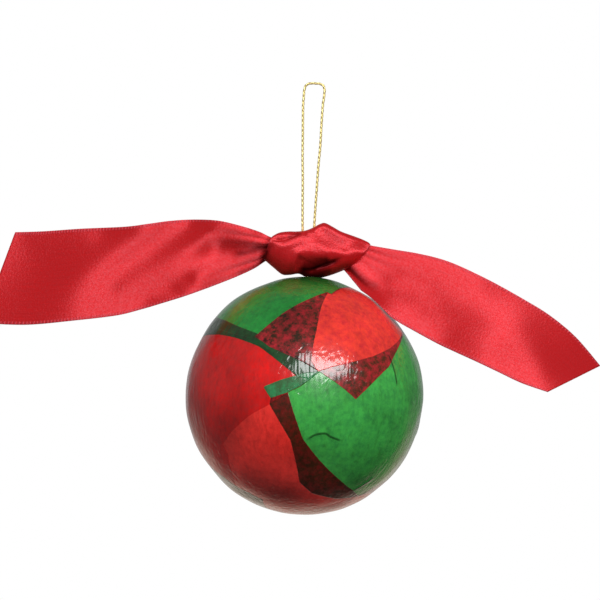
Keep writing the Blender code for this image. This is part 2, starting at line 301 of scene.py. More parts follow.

# Round spots where the colour is darker, and lighter where the share is below 0: degrees round and up, radius
# in mm, and share of light lost there. The strongest, at the crown under the knot, is painted shade; the rest
# darken and lighten the tissue in patches, several of them low on the front.
DYE_AND_SHADE_SPOTS = [
    (-30, -5, 8, 0.22), (-38, -12, 8, 0.26), (-46, -22, 8, 0.26), (-64, -18, 12, 0.22), (-72, 2, 10, 0.12),
    (-52, 14, 13, -0.16), (-18, 13, 9, -0.22), (-22, 2, 7, -0.16), (-24, -46, 13, 0.4), (-10, -50, 8, 0.36),
    (-2, -26, 5, 0.22), (-34, -38, 8, 0.1), (-22, -14, 8, -0.14), (2, 2, 10, -0.16), (28, -30, 14, 0.22),
    (42, -38, 10, 0.24), (12, -24, 7, 0.1), (24, -8, 6, -0.1), (44, 4, 9, -0.1), (30, 46, 13, -0.1),
    (-8, 44, 8, 0.25), (-34, 48, 8, 0.16), (-46, 42, 8, -0.08), (150, 20, 16, 0.2), (-140, -10, 18, 0.18),
    # the first spot of the next row, at the crown under the knot, is painted shade
    (0, 84, 17, 0.62), (-35.7, -56.3, 0.9, 0.95), (-79.5, -6.1, 0.9, 0.95), (-150, 46, 14, -0.12),
    (100, -20, 14, 0.2), (180, -46, 14, 0.2),
]

# Creases in the tissue, as lines of degrees round and up.
BALL_CREASES = [
    [(1.6, -16.4), (5.4, -13.9), (9.9, -13.2), (12.9, -14.8), (18.6, -16.8)],
    [(36.5, -45.8), (42, -42), (48.2, -37.4)],
    [(46, 24), (47.4, 17), (48.1, 8)],
    [(-142, 22), (-134, 8), (-131, -8)],
    [(150, 6), (160, 2), (168, -6), (171, -14)],
    [(84, -18), (90, -10), (98, -7)],
]
CREASE_HEIGHT = 0.22
CREASE_WIDTH = 0.8
CREASE_END = 0.12  # share of its length in which a crease dies out
CREASE_SAMPLES = 24
NO_CREASE = 99.0  # mm, where none is near

# Lines given by a few points are rounded into samples, and measured as short straight runs between corners.
LINE_SAMPLES = 120
LINE_CORNERS = 30


def sphere_place(around, up):
    """Directions from the ball's middle: degrees round from the front (-Y) towards +X, and degrees up."""
    around, up = np.broadcast_arrays(np.radians(around), np.radians(up))
    return np.stack([np.cos(up) * np.sin(around), -np.cos(up) * np.cos(around), np.sin(up)], axis=-1)


def east_and_north(way):
    """The level direction and the upward one at right angles to a direction."""
    east = unit(np.cross([0.0, 0.0, 1.0], way))
    return east, np.cross(way, east)


def patch_depth(directions, corners):
    """Distance in mm from each place on the ball to the patch's edge, positive inside it. The ball is laid
    flat round the patch's middle, keeping the distances from there, and measured as a plain polygon."""
    outline = sphere_place(*np.array(corners).T)
    middle = unit(outline.mean(axis=0))
    east, north = east_and_north(middle)

    def laid_flat(places):
        far = np.arccos(np.clip(places @ middle, -1.0, 1.0))
        flat = np.stack([places @ east, places @ north], axis=-1)
        length = np.maximum(np.linalg.norm(flat, axis=-1, keepdims=True), 1e-9)
        return flat / length * far[..., None] * BALL_RADIUS

    flat = laid_flat(directions)
    ring = laid_flat(outline)
    gap = np.full(flat.shape[:-1], np.inf)
    inside = np.zeros(flat.shape[:-1], dtype=bool)
    for start, end in zip(ring, np.roll(ring, -1, axis=0)):
        run = end - start
        share = np.clip((flat - start) @ run / (run @ run), 0.0, 1.0)
        gap = np.minimum(gap, np.linalg.norm(flat - start - share[..., None] * run, axis=-1))
        crosses = (start[1] > flat[..., 1]) != (end[1] > flat[..., 1])
        level = np.where(crosses, (flat[..., 1] - start[1]) / (end[1] - start[1] + 1e-12), 0.0)
        inside ^= crosses & (flat[..., 0] < start[0] + level * run[0])
    return np.where(inside, gap, -gap)


def beside(place, line):
    """Distance of each place from the line, its side (+1 left of the way along) and how far along it is,
    from 0 to 1."""
    corners = even_along(smooth_through(line, LINE_SAMPLES), LINE_CORNERS)
    before = distance_along(corners)
    distance = np.full(place.shape[:-1], np.inf)
    side = np.zeros(place.shape[:-1])
    along = np.zeros(place.shape[:-1])
    for start, end, done, more in zip(corners, corners[1:], before, np.diff(before)):
        run = end - start
        share = np.clip((place - start) @ run / (run @ run), 0.0, 1.0)
        offset = place - start - share[..., None] * run
        gap = np.linalg.norm(offset, axis=-1)
        closer = gap < distance
        distance = np.where(closer, gap, distance)
        side = np.where(closer, np.sign(run[0] * offset[..., 1] - run[1] * offset[..., 0]), side)
        along = np.where(closer, (done + share * more) / before[-1], along)
    return distance, side, along


def fade_at_ends(along, share):
    """1 beside a line, falling to 0 at both ends within the given share of its length."""
    return np.clip(np.minimum(along, 1.0 - along) / share, 0.0, 1.0)


def crease_gaps(directions, lines):
    """Signed distance in mm from each place to the nearest crease, and a share that is 1 beside the crease
    and falls to 0 at its ends. Each crease is laid flat round its own middle."""
    nearest = np.full(directions.shape[:-1], NO_CREASE)
    shown = np.zeros(directions.shape[:-1])
    for line in lines:
        corners = sphere_place(*smooth_through(line, CREASE_SAMPLES).T)
        middle = unit(corners.mean(axis=0))
        east, north = east_and_north(middle)
        flat = np.stack([directions @ east, directions @ north], axis=-1) * BALL_RADIUS
        far_side = directions @ middle < 0.5  # more than 60 degrees away
        route = np.stack([corners @ east, corners @ north], axis=-1) * BALL_RADIUS
        distance, side, along = beside(flat, route)
        distance = np.where(far_side, NO_CREASE, distance)
        closer = distance < np.abs(nearest)
        nearest = np.where(closer, distance * np.where(side == 0.0, 1.0, side), nearest)
        shown = np.where(closer, fade_at_ends(along, CREASE_END), shown)
    return nearest, shown


def spot_sum(directions, spots):
    """Sum of soft round spots on the ball: a bell of the given strength and radius in mm about each."""
    total = np.zeros(directions.shape[:-1])
    for around, up, radius, strength in spots:
        apart = np.arccos(np.clip(directions @ sphere_place(around, up), -1.0, 1.0)) * BALL_RADIUS
        total += strength * np.exp(-(apart / radius) ** 2)
    return total


def soft_hills(directions, wavelength, count, seed):
    """Sum of gentle waves in random directions over the ball, about 1 in height. The wavelength is in mm."""
    chance = np.random.default_rng(seed)
    ways = unit(chance.normal(size=(count, 3)))
    ways *= 2 * math.pi * BALL_RADIUS / wavelength * chance.uniform(0.7, 1.3, size=(count, 1))
    starts = chance.uniform(0.0, 2 * math.pi, size=count)
    return np.cos(directions @ ways.T + starts).sum(axis=-1) / math.sqrt(count / 2)


def on_ball(grid):
    """A number for every point of the ball's mesh, from a grid over its outside. The middle and the rim of
    the socket's floor take the first ring's numbers, and the foot takes the last ring's."""
    return np.concatenate([[grid[0].mean()], grid[0], grid.ravel(), [grid[-1].mean()]])


def fan(ring, tip):
    """Triangles from a closed ring of point numbers to one more point."""
    return np.stack([np.full_like(ring, tip), np.roll(ring, -1), ring], axis=1)


socket_angle = math.asin(SOCKET_RADIUS / BALL_RADIUS)
down_angle = np.linspace(socket_angle, math.pi - FOOT_ANGLE, BALL_DOWN)
around_angle = np.degrees(np.linspace(-math.pi, math.pi, BALL_AROUND, endpoint=False))
ball_way = sphere_place(around_angle[None, :], 90.0 - np.degrees(down_angle)[:, None])
crown_fade = np.clip((down_angle - socket_angle) / CROWN_FADE, 0.0, 1.0)[:, None]
foot_fade = np.clip((math.pi - down_angle) / FOOT_FADE, 0.0, 1.0)[:, None]
crease_gap, crease_shown = crease_gaps(ball_way, BALL_CREASES)
hills = sum(height * soft_hills(ball_way, *waves) for height, *waves in BALL_HILLS)
hills += CREASE_HEIGHT * crease_shown * np.exp(-(crease_gap / CREASE_WIDTH) ** 2)
ball_net = BALL_MIDDLE + ball_way * (BALL_RADIUS - BALL_INSET + crown_fade * foot_fade * hills)[..., None]
socket_floor = ball_net[0].copy()
socket_floor[:, 2] = -HANG_DROP - SOCKET_DEPTH
ball_points = np.concatenate([
    [[0.0, 0.0, -HANG_DROP - SOCKET_DEPTH]], socket_floor, ball_net.reshape(-1, 3),
    [BALL_MIDDLE - [0.0, 0.0, BALL_RADIUS - BALL_INSET]],
])
ball_rows, ball_columns = net_faces(BALL_DOWN + 1, BALL_AROUND, True)
ball_faces = (1 + ball_rows * BALL_AROUND + ball_columns % BALL_AROUND)[:, ::-1].tolist()
floor_rim = 1 + np.arange(BALL_AROUND)
ball_faces += fan(floor_rim, 0).tolist()
ball_faces += fan(floor_rim + BALL_DOWN * BALL_AROUND, len(ball_points) - 1)[:, ::-1].tolist()

ball_values = {
    # the spots' darkening, with painted shade at the crown among it
    "spot_dye_and_shade": on_ball(spot_sum(ball_way, DYE_AND_SHADE_SPOTS)),
    "crease_gap": on_ball(crease_gap),
    "crease_shown": on_ball(crease_shown),
}
for level, (_, patches) in enumerate(TISSUE):
    depth = np.max([patch_depth(ball_way, corners) for corners in patches], axis=0)
    ball_values["tissue_%d" % level] = on_ball(depth)
tissue_ball = piece_from("tissue_ball", ball_points, ball_faces, values=ball_values)

# Tissue paper soaked in varnish: each sheet tints what lies under it, so red over green goes nearly
# black. The paper's fibres cloud the colour, and the brush leaves strokes in the clear coat. Round spots and
# crease lines darken the colour too, and the strongest spot, at the crown under the knot, is painted shade.
tissue_varnish, tissue_node = new_material("varnished_tissue_paper")
# For each dye: what it lets through, its own colour, and the least and most share that its own colour has.
DYES = {
    "green": ("#44B84C", "#1F6B38", 0.30, 0.70),
    "deep green": ("#20A03C", "#135A2A", 0.26, 0.60),
    "thick green": ("#46BC44", "#2E8650", 0.40, 0.92),
    "low red": ("#E4302A", "#9C0E14", 0.02, 0.40),
    "deep red": ("#E2362C", "#B81E1E", 0.05, 0.60),
    "red": ("#E83A2C", "#BE1C2A", 0.04, 0.80),
}
PAPER_WHITE = linear("#FFF6EC")

ball_object = tissue_node("TexCoord").outputs["Object"]
fibre_cloud = tissue_node("TexNoise", {
    "Vector": ball_object, "Scale": 1.0 / (2.6 * MM), "Detail": 6.0, "Roughness": 0.70})
grain_way = tissue_node("Mapping", {"Vector": ball_object, "Scale": (1.0, 1.0, 0.35)})
paper_grain = tissue_node("TexNoise", {
    "Vector": grain_way, "Scale": 1.0 / (1.5 * MM), "Detail": 4.0, "Roughness": 0.65})
broad_cloud = tissue_node("TexNoise", {
    "Vector": ball_object, "Scale": 1.0 / (13.0 * MM), "Detail": 3.0, "Roughness": 0.55})
edge_waver = tissue_node("TexNoise", {"Vector": ball_object, "Scale": 1.0 / (1.6 * MM), "Detail": 3.0})
stack = PAPER_WHITE
edges = 0.0
for level, (dye, _) in enumerate(TISSUE):
    place = tissue_node("Attribute", attribute_name="tissue_%d" % level).outputs["Fac"]
    waver = tissue_node("Math", [edge_waver, 0.30, place], operation="MULTIPLY_ADD")
    laid = tissue_node("MapRange", [waver, 0.02, 0.30], **SMOOTH)
    let_through, own_colour, least_share, most_share = DYES[dye]
    own_share = tissue_node("MapRange", [fibre_cloud, 0.40, 0.66, least_share, most_share])
    tinted = tissue_node("Mix", {
        0: 1.0, 6: stack, 7: linear(let_through)}, data_type="RGBA", blend_type="MULTIPLY")
    bodied = tissue_node("Mix", {0: own_share, 6: tinted, 7: linear(own_colour)}, data_type="RGBA")
    stack = tissue_node("Mix", {0: laid, 6: stack, 7: bodied}, data_type="RGBA")
    edges = tissue_node("Math", [laid, edges], operation="ADD")

clouded = tissue_node("MapRange", [broad_cloud, 0.3, 0.7, 0.80, 1.14])
speckled = tissue_node("MapRange", [paper_grain, 0.3, 0.7, 0.90, 1.09])
paper_tone_share = tissue_node("Math", [clouded, speckled], operation="MULTIPLY")
# painted shade: the spots' darkening, the crown under the knot among it, multiplies into the colour here
dye_and_shade_lost = tissue_node("Attribute", attribute_name="spot_dye_and_shade").outputs["Fac"]
dye_and_shade_left = tissue_node("Math", [1.0, dye_and_shade_lost], operation="SUBTRACT")
crease_gap_value = tissue_node("Attribute", attribute_name="crease_gap").outputs["Fac"]
crease_width = tissue_node("Math", [crease_gap_value], operation="ABSOLUTE")
crease_line = tissue_node("MapRange", [crease_width, 0.15, 0.75, 0.72, 0.0], **SMOOTH)
crease_fade = tissue_node("Attribute", attribute_name="crease_shown").outputs["Fac"]
crease_dark = tissue_node("Math", [crease_line, crease_fade], operation="MULTIPLY")
uncreased = tissue_node("Math", [1.0, crease_dark], operation="SUBTRACT")
dye_shade_and_creases = tissue_node("Math", [dye_and_shade_left, uncreased], operation="MULTIPLY")
tone_dye_and_shade = tissue_node("Math", [paper_tone_share, dye_shade_and_creases], operation="MULTIPLY")
dye_flecks = tissue_node("TexNoise", {
    "Vector": grain_way, "W": 7.0, "Scale": 1.0 / (1.9 * MM), "Detail": 5.0, "Roughness": 0.72},
    noise_dimensions="4D")
fleck_share = tissue_node("MapRange", [dye_flecks, 0.52, 0.68, 0.0, 0.42])
flecked = tissue_node("Mix", {
    0: fleck_share, 6: stack, 7: linear("#B89C84")}, data_type="RGBA", blend_type="MULTIPLY")
tissue_colour = tissue_node("VectorMath", {0: flecked, "Scale": tone_dye_and_shade}, operation="SCALE")

paper_bump = tissue_node("Bump", {"Height": edges, "Distance": 0.09 * MM, "Strength": 0.8})
fibre_bump = tissue_node("Bump", {
    "Height": fibre_cloud, "Distance": 0.10 * MM, "Strength": 0.6, "Normal": paper_bump})

# The brush went over the ball in three ways: how each is turned, and the cloud value where it takes over.
STROKE_WAYS = [((1.45, 0.0, 0.25), 0.0), ((1.2, 0.3, -1.15), 0.47), ((1.7, 0.2, 0.85), 0.56)]
strokes = None
for number, (turn, cloud_start) in enumerate(STROKE_WAYS):
    turned = tissue_node("Mapping", {
        "Vector": ball_object, "Rotation": turn, "Scale": (1.0, 16.0, 1.0)}, vector_type="TEXTURE")
    hair_marks = tissue_node("TexNoise", {
        "Vector": turned, "W": 3.0 * number, "Scale": 1.0 / (1.9 * MM), "Detail": 1.0, "Roughness": 0.6},
        noise_dimensions="4D")
    if strokes is None:
        strokes = hair_marks
    else:
        takes_over = tissue_node("MapRange", [broad_cloud, cloud_start, cloud_start + 0.05])
        strokes = tissue_node("Mix", {0: takes_over, 2: strokes, 3: hair_marks}, data_type="FLOAT")
stroke_bump = tissue_node("Bump", {
    "Height": strokes, "Distance": 0.40 * MM, "Strength": 1.0, "Normal": paper_bump})
ball_shader = tissue_node("BsdfPrincipled", {
    "Base Color": tissue_colour, "Roughness": 0.40, "IOR": 1.45, "Specular IOR Level": 0.20,
    "Normal": fibre_bump, "Coat Weight": 1.0, "Coat Roughness": 0.17, "Coat IOR": 1.5,
    "Coat Normal": stroke_bump})
tissue_node("OutputMaterial", {"Surface": ball_shader})
tissue_ball.data.materials.append(tissue_varnish)
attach(tissue_ball, "root")
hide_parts("ball")

# Ribbon: one strip of single-face satin, 38 mm wide with woven edges, tied in a plain knot round both
# strands of the cord. Its two tails stand out to the sides, gathered where they leave the knot.
RIBBON_WIDTH = 38.0
RIBBON_THICKNESS = 0.30
PICOT_PITCH = 1.3  # mm between the little loops of the woven edges
TAIL_ROWS = 190
TAIL_COLUMNS = 64
TAIL_GAP = 0.6  # least gap between a tail's middle surface and the ball
MAP_SPAN = 100.0  # mm of cloth to one unit of its UV map

# Stations out from the knot: x and height of the upper edge, then of the lower edge, over the ball's
# crown, and how far back each edge stands.
LEFT_STATIONS = [
    (-11, 14.2, -11, 10.2, 2, 2),
    (-17.2, 16.4, -18.2, 6, 1.6, 1.2),
    (-21.3, 18.2, -22.8, 2.8, 1, 0.2),
    (-29, 20.4, -30, -0.9, 1.2, -2),
    (-38.8, 22.3, -40.5, -5.5, 2.8, -4.2),
    (-49.4, 22.4, -50.5, -9.5, 4, -5.6),
    (-59.2, 21.5, -60.5, -13, 4.6, -6.2),
    (-68, 20, -70, -16.2, 4.6, -6.4),
    (-77.9, 18.4, -80.3, -19.1, 4.4, -6.6),
    (-96.6, 16.9, -98.5, -21.9, 4, -7),
    (-112, 15.3, -118, -24.3, 3.6, -7.2),
    (-124.1, 14.5, -137.1, -24.3, 3.4, -7.4),
]
RIGHT_STATIONS = [
    (13, 13, 9.5, 6.5, 1, 1),
    (20.5, 15.2, 13.4, 4.4, 0.5, -0.5),
    (25.8, 14.1, 15.4, 3, 0.5, -2.5),
    (32, 13.2, 19.8, -1.9, 1.5, -6),
    (38.1, 12.4, 24.1, -6.6, 3, -9.5),
    (45, 11.5, 29.9, -11.6, 5, -12.5),
    (53, 10, 37.5, -17, 7, -13.5),
    (60.7, 7.8, 45.2, -21.1, 8.5, -13),
    (70, 4, 55.4, -26.2, 10, -12),
    (79.7, -0.5, 63.3, -29.6, 11, -12),
    (91.1, -6.4, 72.5, -33.4, 11.5, -12),
    (102.3, -12.8, 81.5, -37.3, 12.5, -11),
    (113.6, -21.6, 91.5, -41.6, 14, -10.5),
    (124.3, -33.3, 102.6, -45, 16, -10),
]

# Folds: lines of (x, height, turn), the turn being how far the cloth faces towards the knot there, as a
# slope along the strip. Satin shines where its threads lie square to the light, and is deep red where
# they turn away.
LEFT_TURNS = [
    [(-133, -23, 0), (-130, -12, 0.02), (-126, -4, 0.05), (-121, 7, 0.06)],
    [(-118, 12, 0.02), (-111.8, 12.5, 0.02), (-98, 13.8, 0.02), (-90.4, 14.1, 0.08)],
    # deep red band that climbs to the upper edge
    [(-112.4, -18.7, -0.04), (-105.2, -9.2, -0.08), (-93, 2, -0.12), (-82, 10.5, -0.12), (-73, 15.5, 0.02)],
    # first bright band
    [(-94.9, -13.9, 0.24), (-90.9, -7.5, 0.25), (-84.4, 0.8, 0.25), (-75.4, 7.8, 0.25), (-67.2, 13.2, 0.27),
     (-58.9, 17.3, 0.32), (-52, 20.4, 0.34)],
    # the dark fold between the bright bands, deeper towards the knot
    [(-79.9, -7.5, 0.09), (-77.2, -2.8, 0.05), (-71, 1.7, -0.03), (-62.7, 6.6, -0.16), (-54.5, 11.5, -0.24),
     (-47.4, 15.6, -0.24), (-42.6, 18.4, -0.14)],
    # second bright band
    [(-88.1, -16.6, 0.28), (-83.1, -14.4, 0.29), (-74.8, -9.4, 0.32), (-66.5, -4.5, 0.33),
     (-59.1, -0.4, 0.32), (-52.1, 4.9, 0.28), (-46.8, 9.7, 0.24), (-43.6, 14.8, 0.2), (-39.5, 18.4, 0.18)],
    [(-43.6, 2.2, 0.3), (-39.5, 4.9, 0.3), (-34, 6.7, 0.24)],
    [(-66.3, -12.1, 0.06), (-60.1, -9.3, 0.02)],
    # small dark hollow in the lower half
    [(-55, -6.6, -0.18), (-51.5, -4.4, -0.34), (-48.6, -2.8, -0.24)],
    [(-57, -1.2, 0.32), (-49.5, 2, 0.32)],
    [(-56, -10.2, 0.1), (-49, -7.6, 0.2)],
    [(-45.5, -4.6, 0.26), (-40.5, -1.1, 0.3), (-34.8, 2.9, 0.3), (-29, 6.5, 0.22)],
    # cloth turning under at the knot's mouth
    [(-32, 4, 0.28), (-26.5, 7, 0.28), (-22.7, 8.8, 0.26)],
    [(-27.1, 1.2, -0.12), (-23, 3.6, -0.16), (-20, 5.8, -0.2)],
    [(-36.4, 10.6, -0.36), (-34.2, 10.6, -0.44), (-29.1, 10.8, -0.44), (-24.9, 11.6, -0.4),
     (-21.5, 12.2, -0.36)],
    [(-36, 14.3, -0.06), (-30.9, 14.9, -0.05), (-25.1, 15.1, -0.04), (-20, 15.2, -0.04)],
    [(-36.5, 19.2, 0.3), (-32.8, 19, 0.32), (-26.8, 17.5, 0.32), (-21.7, 16, 0.32)],
]
RIGHT_TURNS = [
    [(22.4, 9.5, 0.02), (25, 7.1, -0.04), (26.8, 3.8, -0.06)],
    # ridge along the upper edge
    [(29.8, 13.2, 0.08), (42.6, 11.1, 0.09), (55.3, 8.1, 0.09), (68.2, 2.7, 0.08)],
    [(36.3, 9.2, 0.13), (44.8, 7.8, 0.13), (55.4, 4.8, 0.14), (64.1, -1.3, 0.16), (74.9, -10.2, 0.17),
     (87.1, -21.5, 0.17), (96.9, -36.4, 0.14)],
    [(38.7, 2.1, 0.32), (48.9, -0.5, 0.35), (60, -9.4, 0.44), (66, -14.4, 0.46)],
    [(36.7, -2.2, 0.24), (45.2, -4.4, 0.28), (53.8, -9.2, 0.4)],
    # the deep fold below, darkest near the knot
    [(34.6, -5.4, 0.56), (41.1, -8.4, 0.62), (49.7, -12.3, 0.6), (54, -14.6, 0.6), (58.3, -17.1, 0.54),
     (66.9, -22.2, 0.44)],
    [(33, -10, 0.02), (36, -11.4, 0.05), (39.2, -12.7, 0.08), (49.9, -18.6, 0.1), (60.7, -25, 0.1),
     (71.4, -29.7, 0.1), (84, -35, 0.1)],
    [(72.6, -3.1, -0.05), (81.2, -9.1, -0.06), (87.5, -8.9, -0.09)],
    [(93.3, -17.1, -0.1), (98.7, -27.5, -0.08), (104.2, -39.1, -0.06)],
    [(98.2, -12.7, -0.11), (107, -23, -0.1), (113.7, -33.3, -0.09)],
]
# Pleats drawn out of the knot: how far the cloth stands forward there at even steps from the upper edge to
# the lower, in mm.
LEFT_PLEATS = [0, 1.4, 0.6, 1.2, -0.6, -2, -1, 2, 1.9, 0.2, 0.8, 0]
RIGHT_PLEATS = [0, 0.5, -0.2, 0.7, 0.2, 1, 1.2, 2.2, 3.4, 2.2, -1.6, -1]
PLEAT_REACH = 38.0  # mm along the strip in which the pleats die out
PLEAT_HOLD = 0.15  # share of that in which they keep their height
THREADS_LEVEL = 0.10  # how much level neighbouring threads count beside the turns
TURN_SPACING = 4.0  # mm between the points that hold the sheet of turns, along each line
TURN_SLACK = 0.3
STATION_SAMPLES = 900
FORM_SAMPLES = 60  # in each line that shapes the cloth


def sheet_through(lines, at, spacing, slack):
    """A value at each place, from a thin bent sheet held to the lines, whose points are (x, height, value).
    It is a thin-plate spline, which adds up r squared times log r about each point that holds it, and a
    tilted plane. Slack lets it pass the points by a little."""
    held = []
    for line in lines:
        length = distance_along(np.array(line)[:, :2])[-1]
        held.append(even_along(smooth_through(line, FORM_SAMPLES), max(2, int(length / spacing) + 1)))
    held = np.concatenate(held)
    places = held[:, :2]
    count = len(places)

    def bend(here):
        far = np.linalg.norm(here[:, None, :] - places[None, :, :], axis=-1)
        return far ** 2 * np.log(np.maximum(far, 1e-6))

    system = np.zeros((count + 3, count + 3))
    system[:count, :count] = bend(places) + slack * np.eye(count)
    system[:count, count:] = np.column_stack([np.ones(count), places])
    system[count:, :count] = system[:count, count:].T
    answer = np.linalg.solve(system, np.concatenate([held[:, 2], np.zeros(3)]))
    flat = at.reshape(-1, 2)
    result = bend(flat) @ answer[:count] + flat @ answer[count + 1:] + answer[count]
    return result.reshape(at.shape[:-1])


def off_the_ball(points, gap):
    """Moves any point that would come within reach of the ball straight out from the ball's middle."""
    away = points - BALL_MIDDLE
    distance = np.linalg.norm(away, axis=-1, keepdims=True)
    return BALL_MIDDLE + away * np.maximum(1.0, (BALL_RADIUS + gap) / distance)


def eased(share):
    """A share between 0 and 1 that leaves 0 and reaches 1 gently."""
    return share ** 2 * (3.0 - 2.0 * share)


def form_from_slopes(slopes, step, level):
    """How far each point of a net stands forward, from its slope along the threads. It is the least-squares
    answer to two wishes: steps along the threads that add up from the first row as the slopes say, and steps
    across them that are small, which counts by the share `level`. Both tables of steps are split into their
    own shapes (eigenvectors), and between those the answer is one division."""
    rows, columns = slopes.shape
    down = (np.eye(rows) - np.eye(rows, k=-1)) / step
    over = (np.eye(columns) - np.eye(columns, k=-1))[1:] / step
    wanted = np.concatenate([np.zeros((1, columns)), (slopes[1:] + slopes[:-1]) / 2])
    down_size, down_shape = np.linalg.eigh(down.T @ down)
    over_size, over_shape = np.linalg.eigh(over.T @ over)
    mixed = down_shape.T @ (down.T @ wanted) @ over_shape
    return down_shape @ (mixed / (down_size[:, None] + level * over_size[None, :])) @ over_shape.T


def on_sight_lines(places, back):
    """Points (x, height) as the camera sees them in the cord's plane, each moved back along its line of
    sight."""
    eye = np.array([VIEW_CENTRE_X, VIEW_CENTRE_Z]) / MM
    plane = places - [0.0, HANG_DROP]
    seen = eye + (plane - eye) * (1.0 + back * MM / VIEW_DISTANCE)[..., None]
    return np.stack([seen[..., 0], back, seen[..., 1]], axis=-1)


def tail_net(stations, turns, pleats):
    """A tail's middle surface: straight from the upper to the lower edge as the camera sees them, brought
    forward by the turns, which add up along the strip from the knot outwards, and by the pleats. It comes
    with each row's distance along the strip."""
    keys = smooth_through(stations, STATION_SAMPLES)
    run = distance_along((keys[:, 0:2] + keys[:, 2:4]) / 2)
    at = np.linspace(0.0, run[-1], TAIL_ROWS)
    keys = np.stack([np.interp(at, run, keys[:, k]) for k in range(6)], axis=1)
    share = np.linspace(0.0, 1.0, TAIL_COLUMNS)[None, :, None]
    flat = keys[:, None, 0:2] * (1.0 - share) + keys[:, None, 2:4] * share
    back = keys[:, None, 4] * (1.0 - share[..., 0]) + keys[:, None, 5] * share[..., 0]
    turn = sheet_through(turns, flat, TURN_SPACING, TURN_SLACK)
    forward = form_from_slopes(turn, run[-1] / (TAIL_ROWS - 1), THREADS_LEVEL)
    across = smooth_through(np.array(pleats)[:, None], TAIL_COLUMNS)[:, 0]
    die_out = np.clip(1.0 + PLEAT_HOLD - at / PLEAT_REACH, 0.0, 1.0)[:, None]
    forward += eased(die_out) * across
    return off_the_ball(on_sight_lines(flat, back - forward), TAIL_GAP), at


def sheet_shell(net, run):
    """A net of cloth given its thickness: front and back nets, and the four rims between them. Returns the
    points, the faces and the corners' UVs, along and across the ribbon."""
    normal = unit(np.cross(np.gradient(net, axis=0), np.gradient(net, axis=1)))
    to_camera = normal[..., 1].mean() < 0
    half = RIBBON_THICKNESS / 2 * (normal if to_camera else -normal)
    points = np.concatenate([net + half, net - half]).reshape(-1, 3)
    rows, columns = net.shape[:2]
    count = rows * columns
    at_row, at_column = net_faces(rows, columns, False)
    front = at_row * columns + at_column
    faces = [front, front[:, ::-1] + count]
    grid = np.arange(count).reshape(rows, columns)
    for rim in (grid[:, 0], grid[-1], grid[::-1, -1], grid[0, ::-1]):
        faces.append(np.stack([rim[:-1], rim[1:], rim[1:] + count, rim[:-1] + count], axis=1))
    faces = np.concatenate(faces)
    if to_camera:
        faces = faces[:, ::-1]
    row, column = np.divmod(faces % count, columns)
    uv = np.stack([run[row], np.linspace(0.0, RIBBON_WIDTH, columns)[column]], axis=-1) / MAP_SPAN
    return points, faces, uv.reshape(-1, 2)


# The knot: the strip's wraps drawn tight, as a closed surface. Sections from left to right give x and
# height of its upper edge, then of its lower edge, the share of its full form, and how far its back
# swells.
KNOT_SECTIONS = [
    (-16.3, 15.5, -18.9, 6.7, 0.75, 3),
    (-15.4, 16.7, -18, 5.9, 0.95, 4.4),
    (-12.6, 18.2, -14.6, 3.2, 1, 5.8),
    (-8.9, 18.8, -11, 0.6, 1, 7),
    (-5.5, 18.9, -7.8, 0.5, 1, 7.8),
    (-2, 19.4, -4, 1.1, 1, 8.4),
    (1, 20.6, -1, -0.2, 1, 8.8),
    (4.2, 22.4, 2.2, -0.4, 1, 9),
    (6.2, 22.9, 5.2, -0.3, 1, 9),
    (9, 21.7, 8.4, 0.6, 1, 8.6),
    (13, 19.6, 11.6, 1.8, 1, 7.8),
    (17.5, 18.1, 14.8, 3.2, 1, 6.6),
    (21.5, 16.8, 18.3, 4.9, 1, 5.2),
    (24.6, 15.5, 21, 7.6, 0.9, 3.6),
    (25.7, 14.6, 23.2, 10.6, 0.6, 1.8),
]
KNOT_ROWS = 180
KNOT_SIDE = 104
KNOT_EDGE_ABOVE = 18.0  # the higher, the more suddenly the knot rolls over at its upper outline
KNOT_EDGE_BELOW = 3.4
KNOT_ROUNDNESS = 2.3  # of its back: 2 is an ellipse, more is boxier
KNOT_FORM_SPACING = 2.0
KNOT_FORM_SLACK = 0.08
KNOT_GAP = 0.12
KNOT_GIRTH = 62.0  # mm of ribbon once round the knot
KNOT_MARGIN = 2.0  # mm of its upper edge that the wraps hide
KNOT_FRONT = 2.0  # how far back the front's shades reach
BACK_WAVE = 1.2  # height in mm of the plain folds across the knot's back
BACK_WAVE_TURN = 0.35  # radians of wave to a mm across them
BACK_WAVE_LEAN = 0.6
LAP_END = 0.35  # share of its length in which a wrap's edge dies out
SHADE_END = 0.15  # and the same for a shade

